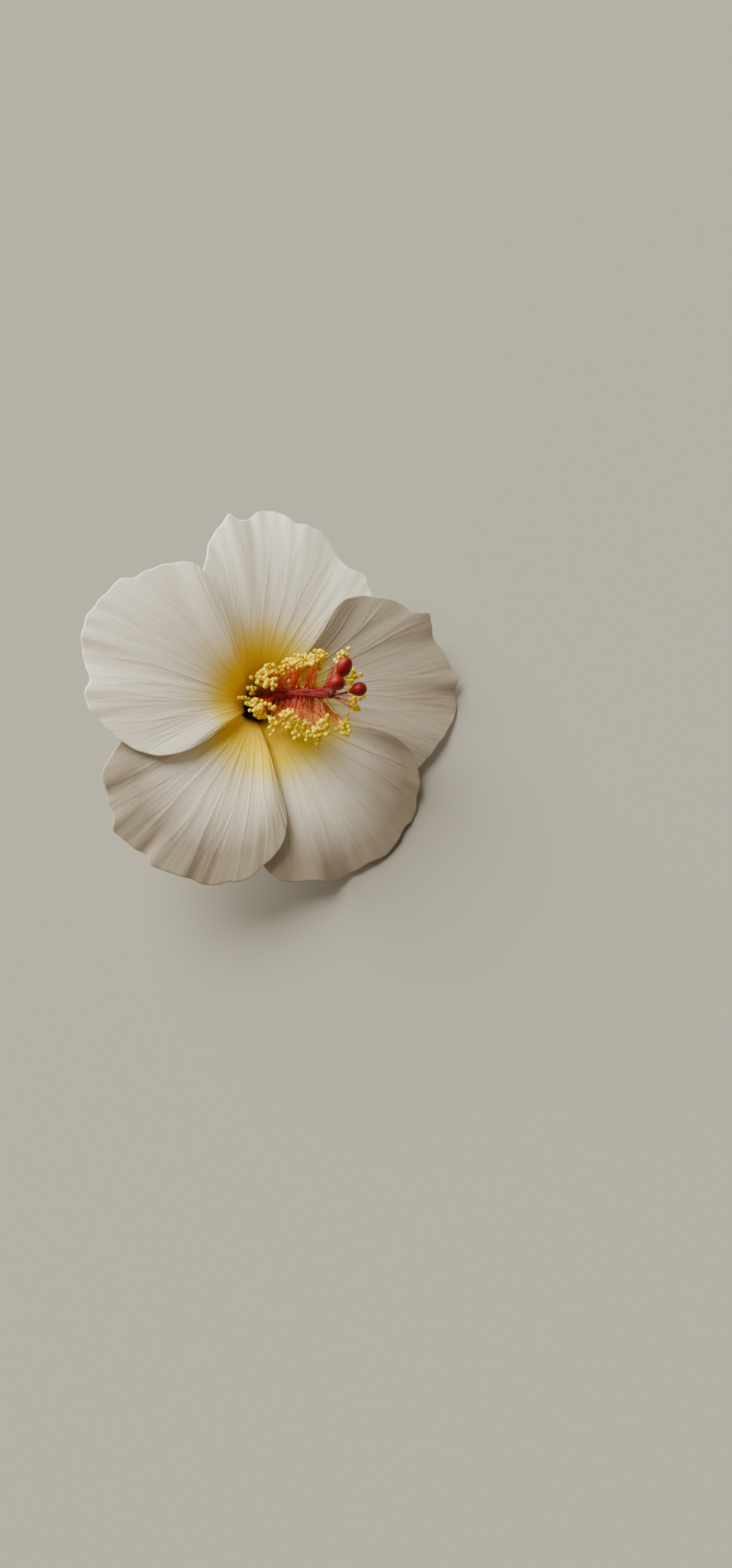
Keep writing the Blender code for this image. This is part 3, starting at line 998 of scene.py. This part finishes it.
@dataclass
class Bracts:
    """Seven narrow bracts in a ring below the calyx."""

    count: int = 7
    width: float = 1.9
    thickness: float = 0.5
    line: tuple = ((2.2, -5.7), (4.4, -4.9), (6.7, -3.3), (8.2, -0.6), (9.2, 2.8), (10.8, 5.8), (13.2, 8.0))
    columns: int = 12
    rows: int = 60

    def build(self, finish: Finish) -> None:
        """Makes each bract, keeled down its middle.

        Args:
            finish: their tissue.
        """
        line = smooth_through(self.line, self.rows + 1) * MM
        for number in range(self.count):
            bract, flat = sheet(f"bract_{number + 1}_leaf", self.columns, self.rows)
            across, along = flat[:, 0] * 2, flat[:, 1] + 0.5
            row = np.rint(along * self.rows).astype(int)
            width = self.width * MM * (1 - 0.75 * along**2) * (0.6 + 0.8 * along * (1 - along)) / 2
            keel = 0.12 * MM * (1 - across**2)
            turn = 2 * math.pi * number / self.count + 0.2
            radius, side = line[row, 0] + keel, across * width
            points = np.stack([
                radius * math.cos(turn) - side * math.sin(turn),
                radius * math.sin(turn) + side * math.cos(turn),
                line[row, 1],
            ], -1)
            write_points(bract, STANCE.lay(points))
            mark(bract, "vein", np.exp(-((across / 0.25) ** 2)))
            thicken(bract, self.thickness)
            settle(bract, f"bract_{number + 1}", finish)


@dataclass
class Stalk:
    """The short cut stalk with its swollen top."""

    line: tuple = (
        (0, 0, -0.7, 5.0), (0, 0, -1.1, 5.3), (0, 0, -1.8, 4.6), (0, 0, -2.8, 3.0), (0, 0, -3.6, 1.6),
        (0, 0, -4.4, 1.3), (-0.4, -0.1, -6.4, 1.2), (-1.8, -0.5, -8.4, 1.2), (-4.2, -1.3, -10.2, 1.2),
        (-7.4, -2.5, -11.5, 1.25), (-11.2, -4.2, -12.2, 1.35),
    )

    def build(self, finish: Finish) -> None:
        """Makes the stalk.

        Args:
            finish: its tissue.
        """
        line = smooth_through(self.line, 81)
        places = STANCE.lay(line[:, :3] * MM)
        stalk = rods("stalk_rod", [places], [line[:, 3] * MM], 8)
        mark(stalk, "vein", np.zeros(len(stalk.data.vertices)))
        settle(stalk, "stalk", finish)


# ---- The middle of the flower -------------------------------------------------------------------------


@dataclass
class Column:
    """The staminal column, which looks like a twisted bundle of red threads."""

    line: tuple = ((0, 0, 0), (0, 0, 7), (0.6, 0.7, 15), (2.0, 1.0, 24), (4.8, 0.0, 36), (8.3, -1.8, 49.5))
    radii: tuple = (2.45, 2.35, 1.7, 1.5, 1.5, 1.6)
    wall: float = 0.6
    loose: int = 44  # fine threads that run along the outside of the bundle
    loose_radius: float = 0.11
    strands: int = 15
    twist: float = 1.4  # turns of the bundle over its length
    around: int = 120
    rows: int = 200

    def centre(self, count: int) -> tuple[np.ndarray, np.ndarray]:
        """Reads the centre line.

        Args:
            count: how many places to read.

        Returns:
            The points, in metres in the flower's axes, and the radius at each.
        """
        last = len(self.radii) - 1
        radii = np.interp(np.linspace(0, last, count), range(last + 1), self.radii)
        return smooth_through(self.line, count) * MM, radii * MM

    def away(self, points: np.ndarray) -> np.ndarray:
        """Measures how far points lie from the centre line.

        Args:
            points: the points, as laid.

        Returns:
            The distance in mm of each.
        """
        line, _ = self.centre(120)
        line = STANCE.lay(line)
        found = np.full(len(points), np.inf)
        for place in line:
            found = np.minimum(found, np.linalg.norm(points - place, axis=1))
        return found / MM

    def build(self, finish: Finish) -> None:
        """Makes the column.

        Args:
            finish: its thread.
        """
        column, flat = sheet("column_bundle", self.around, self.rows)
        turn = 2 * math.pi * (flat[:, 0] + 0.5)
        row = np.rint((flat[:, 1] + 0.5) * self.rows).astype(int)
        line, radii = self.centre(self.rows + 1)
        ahead = np.gradient(line, axis=0)
        ahead /= np.linalg.norm(ahead, axis=1)[:, None]
        first = np.cross(ahead, (0.0, 1.0, 0.0))
        first /= np.linalg.norm(first, axis=1)[:, None]
        second = np.cross(ahead, first)
        share = row / self.rows
        phase = turn * self.strands + 2 * math.pi * self.twist * self.strands / 6 * share
        thread = np.abs(np.sin(phase / 2)) ** 0.7
        lump = 0.07 * np.sin(turn * 3 + share * 21) + 0.05 * np.sin(turn * 2 - share * 33)
        radius = radii[row] * (0.86 + 0.14 * thread + lump * 0.6)
        out = first[row] * np.cos(turn)[:, None] + second[row] * np.sin(turn)[:, None]
        write_points(column, STANCE.lay(line[row] + out * radius[:, None]))
        wrap_seam(column, 0.002 * MM)
        thicken(column, self.wall, -1)
        draw = np.random.default_rng(12)
        lines, count = [], 40
        for _ in range(self.loose):
            low = draw.uniform(0.12, 0.55)
            places = np.linspace(low, min(low + draw.uniform(0.3, 0.6), 1.0), count) * self.rows
            spots = np.rint(places).astype(int)
            turns = draw.uniform(0, 6.3) + np.cumsum(draw.normal(0.0, 0.05, count)) + 0.02 * np.arange(count)
            out = first[spots] * np.cos(turns)[:, None] + second[spots] * np.sin(turns)[:, None]
            off = radii[spots] * 0.98 + draw.uniform(0, 0.16 * MM)
            off = off + 0.08 * MM * np.sin(np.arange(count) * 0.4)
            lines.append(STANCE.lay(line[spots] + out * off[:, None]))
        sizes = [np.full(count, self.loose_radius * MM)] * self.loose
        strands = rods("column_strands", lines, sizes, 1)
        activate(column)
        strands.select_set(True)
        bpy.ops.object.join()
        mark(column, "away", np.clip(self.away(read_points(column)) - 1.1, 0, None))
        settle(column, "staminal_column", finish)


@dataclass
class Pistil:
    """The style inside the column, its three branches and their stigmas."""

    column: Column
    thread: Finish
    velvet: Finish
    branches: tuple = (
        (90, (1.0, 3.5, 3.4), 0.97, 1.27),
        (210, (-0.6, 0.2, 3.3), 0.96, 1.0),
        (-30, (4.3, 0.1, 2.8), 0.92, 1.0),
    )  # (side it leaves from, reach past the mouth in mm, its stigma's size and stretch)
    radius: float = 0.5  # mm, the style's
    foot: float = -0.35  # mm, the height that it starts from
    spacing: float = 0.75
    branch_radius: float = 0.4
    wraps: int = 7  # fine threads that run from the column's mouth along each branch
    wrap_radius: float = 0.1
    gap: float = 0.3
    drop: tuple = (
        (0, 6.0), (1.1, 5.75), (1.95, 4.9), (2.35, 3.6), (2.1, 2.35), (1.3, 1.2), (0.75, 0.5),
        (0.55, 0.0), (0, 0),
    )
    around: int = 48
    rows: int = 40

    def build(self) -> None:
        """Makes the style, its branches and the stigmas."""
        line, _ = self.column.centre(16)
        path = np.vstack([[0, 0, self.foot * MM], line[1:]])
        count = 60
        run = STANCE.lay(smooth_through(path, count))
        style = rods("style_thread", [run], [np.full(count, self.radius * MM)], 2)
        mark(style, "away", np.zeros(len(style.data.vertices)))
        settle(style, "style", self.thread)
        mouth = Vector(line[-1])
        outward = (mouth - Vector(line[-2])).normalized()
        draw = np.random.default_rng(9)
        for number, (side, reach, size, stretch) in enumerate(self.branches, 1):
            tip = mouth + Vector(reach) * MM
            across = (tip - mouth) - (tip - mouth).project(outward)
            leave = Matrix.Rotation(math.radians(side), 3, "Z") @ Vector((self.spacing * MM, 0, 0))
            first = mouth + outward * (self.gap + self.branch_radius) * MM + leave
            bend = first + outward * 1.4 * MM + across * 0.3
            count = 24
            points = bow(first, bend, tip, count)
            taper = np.linspace(1.25, 1.0, count) * self.branch_radius * MM
            name = f"style_branch_{number}"
            runs, sizes = [STANCE.lay(np.array(points))], [taper]
            for _ in range(self.wraps):
                turn = draw.uniform(0, 6.3)
                # It starts on the column's side, crosses its mouth and closes in on the branch.
                aside = (Matrix.Rotation(turn, 3, outward) @ outward.orthogonal()).normalized()
                start = mouth - outward * draw.uniform(2.0, 5.0) * MM + aside * 1.55 * MM
                rim = mouth + outward * 0.2 * MM + aside * 1.2 * MM
                route = np.array([start, rim] + points[8:22:4])
                route[2:] += np.linspace(0.5, 1.0, 4)[:, None] * draw.normal(0, 0.28 * MM, 3)
                runs.append(STANCE.lay(smooth_through(route, count)))
                sizes.append(np.full(count, self.wrap_radius * MM))
            branch = rods(f"{name}_thread", runs, sizes, 2)
            mark(branch, "away", np.full(len(branch.data.vertices), 0.3))
            settle(branch, name, self.thread)
            self.stigma(number, tip, (points[-1] - points[-2]).normalized(), size, stretch)

    def stigma(self, number: int, foot: Vector, along: Vector, size: float, stretch: float) -> None:
        """Makes one stigma, a drop that is a little uneven.

        Args:
            number: which of the three.
            foot: the end of its branch, in the flower's axes.
            along: the way it points.
            size: its size against the drop's own.
            stretch: how much longer than that it is.
        """
        deselect()
        bpy.ops.mesh.primitive_uv_sphere_add(segments=self.around, ring_count=self.rows, radius=1)
        drop = bpy.context.object
        drop.name = drop.data.name = f"stigma_{number}_drop"
        ball = read_points(drop)
        line = smooth_through(self.drop[::-1], 200)
        step = np.concatenate([[0], np.cumsum(np.linalg.norm(np.diff(line, axis=0), axis=1))])
        place = (1 - np.arccos(np.clip(ball[:, 2], -1, 1)) / math.pi) * step[-1]
        radius = np.clip(np.interp(place, step, line[:, 0]), 0, None)
        height = np.interp(place, step, line[:, 1]) * stretch
        turn = np.arctan2(ball[:, 1], ball[:, 0])
        dent = 1 + 0.03 * np.sin(turn * 2 + number) + 0.02 * np.sin(turn * 3 + height + number * 2)
        shape = around(radius * dent, turn, height) * size * MM
        matrix = np.array(along.to_track_quat("Z", "Y").to_matrix())
        write_points(drop, STANCE.lay(shape @ matrix.T + np.array(foot + along * self.gap * MM)))
        wrap_seam(drop, 0.002 * MM)
        settle(drop, f"stigma_{number}", self.velvet)


@dataclass
class Stamens:
    """Groups of stamens up the column: fine threads that end in clusters of round anther grains."""

    column: Column
    thread: Finish
    pollen: Finish
    count: int = 32
    first: float = 0.43  # share of the column below the first group
    last: float = 0.97  # and below the last
    step: float = 137.5  # degrees from one group to the next
    lengths: tuple = (8.0, 11.0)  # mm, from the lowest group to the highest
    length_spread: float = 0.12  # share by which they vary
    forward: float = 0.42  # how far a thread leans up the column, as a share of its length
    bare_front: float = 50.0  # degrees that the two fans leave bare towards the flower's -X side
    bare_back: float = 40.0
    clusters: int = 3  # in a group
    threads: int = 4  # to each cluster
    thread_radius: float = 0.085  # mm
    joints: int = 9  # points along a thread
    grain_radius: float = 0.71  # mm
    grain_spacing: float = 1.15  # mm, the least between two grains
    tries: int = 30  # to find room for a grain
    grains: tuple = (5, 9)  # fewest and one more than the most in a cluster

    def turn(self, number: int, share: float) -> float:
        """Finds the side of the column that a group leaves it from.

        Args:
            number: which group, from 0.
            share: how far up the column it is, from 0 to 1.

        Returns:
            The angle in radians from the column's +X side.
        """
        turn = (self.step * number + 360) % 360 - 180
        front = self.bare_front * min(max((share - 0.62) / 0.12, 0), 1)
        back = self.bare_back * min(max((share - 0.46) / 0.14, 0), 1)
        back *= 1 - min(max((share - 0.8) / 0.1, 0), 1)
        return math.radians(math.copysign(back + (180 - front - back) * abs(turn) / 180, turn))

    def build(self) -> None:
        """Makes every group."""
        deselect()
        bpy.ops.mesh.primitive_uv_sphere_add(segments=10, ring_count=7, radius=1)
        grain = bpy.context.object
        line, radii = self.column.centre(16)
        draw = np.random.default_rng(4)
        for number in range(self.count):
            share = self.first + (self.last - self.first) * number / (self.count - 1)
            place = share * (len(line) - 1)
            i = min(int(place), len(line) - 2)
            along = Vector(line[i + 1] - line[i]).normalized()
            centre = Vector(line[i]).lerp(Vector(line[i + 1]), place - i)
            side = (Vector((1, 0, 0)) - Vector((1, 0, 0)).project(along)).normalized()
            out = Matrix.Rotation(self.turn(number, share), 3, along) @ side
            radius = float(np.interp(place, range(len(radii)), radii))
            low, high = self.lengths
            vary = 1 + self.length_spread * (2 * (number * 0.618 % 1) - 1)
            reach = (low + (high - low) * (number / self.count) ** 0.5) * vary * MM
            self.group(number, centre, along, out, radius, reach, grain, draw)
        bpy.data.objects.remove(grain)

    def group(self, number: int, centre: Vector, along: Vector, out: Vector, radius: float, reach: float,
              grain: Thing, draw: np.random.Generator) -> None:
        """Makes one group.

        Args:
            number: which group, from 0.
            centre: the column's centre there.
            along: the column's way there.
            out: the way the group leaves it.
            radius: the column's radius there.
            reach: how far out the group ends.
            grain: the grain to copy.
            draw: the random numbers.
        """
        lines, sizes, places = [], [], []
        side = along.cross(out)
        # The upper fan's threads are all long, apart from the lowest groups'.
        near = 0.85 if out.y > 0 and number > 6 else 0.55
        for _ in range(self.clusters):
            far = reach * draw.uniform(near, 1.12)
            lean = self.forward + draw.uniform(-0.22, 0.22)
            sway = draw.uniform(-2.6, 2.6) * MM
            packed = []
            for _ in range(self.threads):
                turn = Matrix.Rotation(draw.uniform(-0.5, 0.5), 3, along)
                foot = centre + (turn @ out) * radius * 0.9 + along * draw.uniform(-2.6, 2.2) * MM
                knee = foot + out * far * 0.5 + along * far * draw.uniform(0.0, 0.2) + side * sway * 0.2
                tip = foot + out * far * 0.9 + along * far * lean
                tip = tip + side * (sway + draw.uniform(-0.6, 0.6) * MM)
                path = np.array(bow(foot, knee, tip, self.joints))
                wobble = draw.normal(0, 0.1 * MM, path.shape)
                wobble[0] = 0
                lines.append(STANCE.lay(path + wobble))
                sizes.append(np.full(self.joints, self.thread_radius * MM))
            heading = (tip - knee).normalized()
            for _ in range(draw.integers(*self.grains)):
                for _ in range(self.tries):
                    spot = tip + heading * draw.uniform(-0.6, 1.9) * MM
                    spot = spot + Vector(draw.normal(0, 0.75, 3)) * MM
                    if all((spot - other).length > self.grain_spacing * MM for other in packed):
                        packed.append(spot)
                        break
            places.extend(packed)
        node = f"stamen_{number + 1:02d}"
        filaments = rods(f"{node}_tuft", lines, sizes, 1)
        mark(filaments, "away", self.column.away(read_points(filaments)))
        filaments.data.materials.append(self.thread)
        copies = []
        for spot in places:
            copy = grain.copy()
            copy.data = grain.data.copy()
            bpy.context.collection.objects.link(copy)
            size = self.grain_radius * MM * draw.uniform(0.85, 1.12)
            points = read_points(copy) * size
            angle = draw.uniform(0, 6)
            matrix = np.array(Matrix.Rotation(angle, 3, Vector(draw.normal(0, 1, 3)).normalized()))
            laid = STANCE.lay(np.array(spot)[None, :])[0]
            write_points(copy, points @ matrix.T + laid)
            copy.data.materials.append(self.pollen)
            copies.append(copy)
        activate(filaments)
        for copy in copies:
            copy.select_set(True)
        bpy.ops.object.join()
        settle(filaments, node)


# ---- The studio ---------------------------------------------------------------------------------------


@dataclass
class Studio:
    """A plain pale surface, soft light from behind and above, and the camera."""

    azimuth: float = -0.35
    elevation: float = 69.96
    roll: float = -2.03
    lens: float = 30.85
    throat_at: tuple = (-38.56, 25.26, -450.0)  # mm, the throat in the camera's own axes
    surface_size: float = 12.0  # m
    colour: str = "#918D80"
    key_from: tuple = (-0.62, 0.65, 0.8)  # where the key light comes from
    key_colour: str = "#FFFCF6"
    key_strength: float = 9.6
    key_softness: float = 50.0  # degrees across, like a large soft box
    fill_colour: str = "#FFF0DC"
    fill_strength: float = 0.27

    def floor(self) -> None:
        """Makes the surface that the flower lies on."""
        deselect()
        bpy.ops.mesh.primitive_plane_add(size=self.surface_size, location=(0, 0, 0))
        floor = bpy.context.object
        floor.name = floor.data.name = "surface"
        material, shader = new_material("matte_pale_surface")
        settings = {"Base Color": linear(self.colour), "Roughness": 0.9, "Specular IOR Level": 0.1}
        floor.data.materials.append(dress(material, shader, {}, settings))

    def lights(self) -> None:
        """Makes the soft key light, from behind and the left, and the even light all round."""
        key = bpy.data.lights.new("key", "SUN")
        key.angle = math.radians(self.key_softness)
        key.energy = self.key_strength
        key.color = linear(self.key_colour)[:3]
        lamp = bpy.data.objects.new("key", key)
        bpy.context.scene.collection.objects.link(lamp)
        lamp.location = self.key_from
        lamp.rotation_mode = "QUATERNION"
        lamp.rotation_quaternion = (-lamp.location).to_track_quat("-Z", "Y")
        world = bpy.data.worlds.new("studio")
        world.use_nodes = True
        background = world.node_tree.nodes["Background"]
        background.inputs["Color"].default_value = linear(self.fill_colour)
        background.inputs["Strength"].default_value = self.fill_strength
        bpy.context.scene.world = world

    def camera(self, throat: Vector) -> None:
        """Places the camera so that the throat lies where throat_at says.

        Args:
            throat: where the throat is, in metres.
        """
        azimuth, elevation = math.radians(self.azimuth), math.radians(self.elevation)
        turn = (
            Matrix.Rotation(azimuth, 3, "Z")
            @ Matrix.Rotation(math.pi / 2 - elevation, 3, "X")
            @ Matrix.Rotation(math.radians(self.roll), 3, "Z")
        )
        data = bpy.data.cameras.new("camera")
        data.lens = self.lens
        data.sensor_width = 36
        data.clip_start = 0.01
        camera = bpy.data.objects.new("camera", data)
        bpy.context.scene.collection.objects.link(camera)
        camera.matrix_world = (
            Matrix.Translation(throat - turn @ (Vector(self.throat_at) * MM)) @ turn.to_4x4()
        )
        bpy.context.scene.camera = camera

    def build(self, throat: Vector) -> None:
        """Makes the whole studio.

        Args:
            throat: where the flower's throat is, in metres.
        """
        self.camera(throat)
        self.floor()
        self.lights()


def write_sizes() -> None:
    """Updates the view layer."""
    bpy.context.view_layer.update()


def main() -> None:
    """Builds the flower piece by piece, then the studio."""
    tissue = PetalTissue().build()
    green = CALYX_SKIN.build()
    thread = ThreadFinish().build()
    Studio().build(STANCE.matrix().translation)
    for petal in PETALS:
        petal.build(tissue)
    Calyx().build(green)
    Bracts().build(green)
    Stalk().build(STALK_SKIN.build())
    column = Column()
    column.build(thread)
    Pistil(column, thread, STIGMA_SKIN.build()).build()
    Stamens(column, thread, ANTHER_SKIN.build()).build()
    write_sizes()


if __name__ == "__main__":
    main()
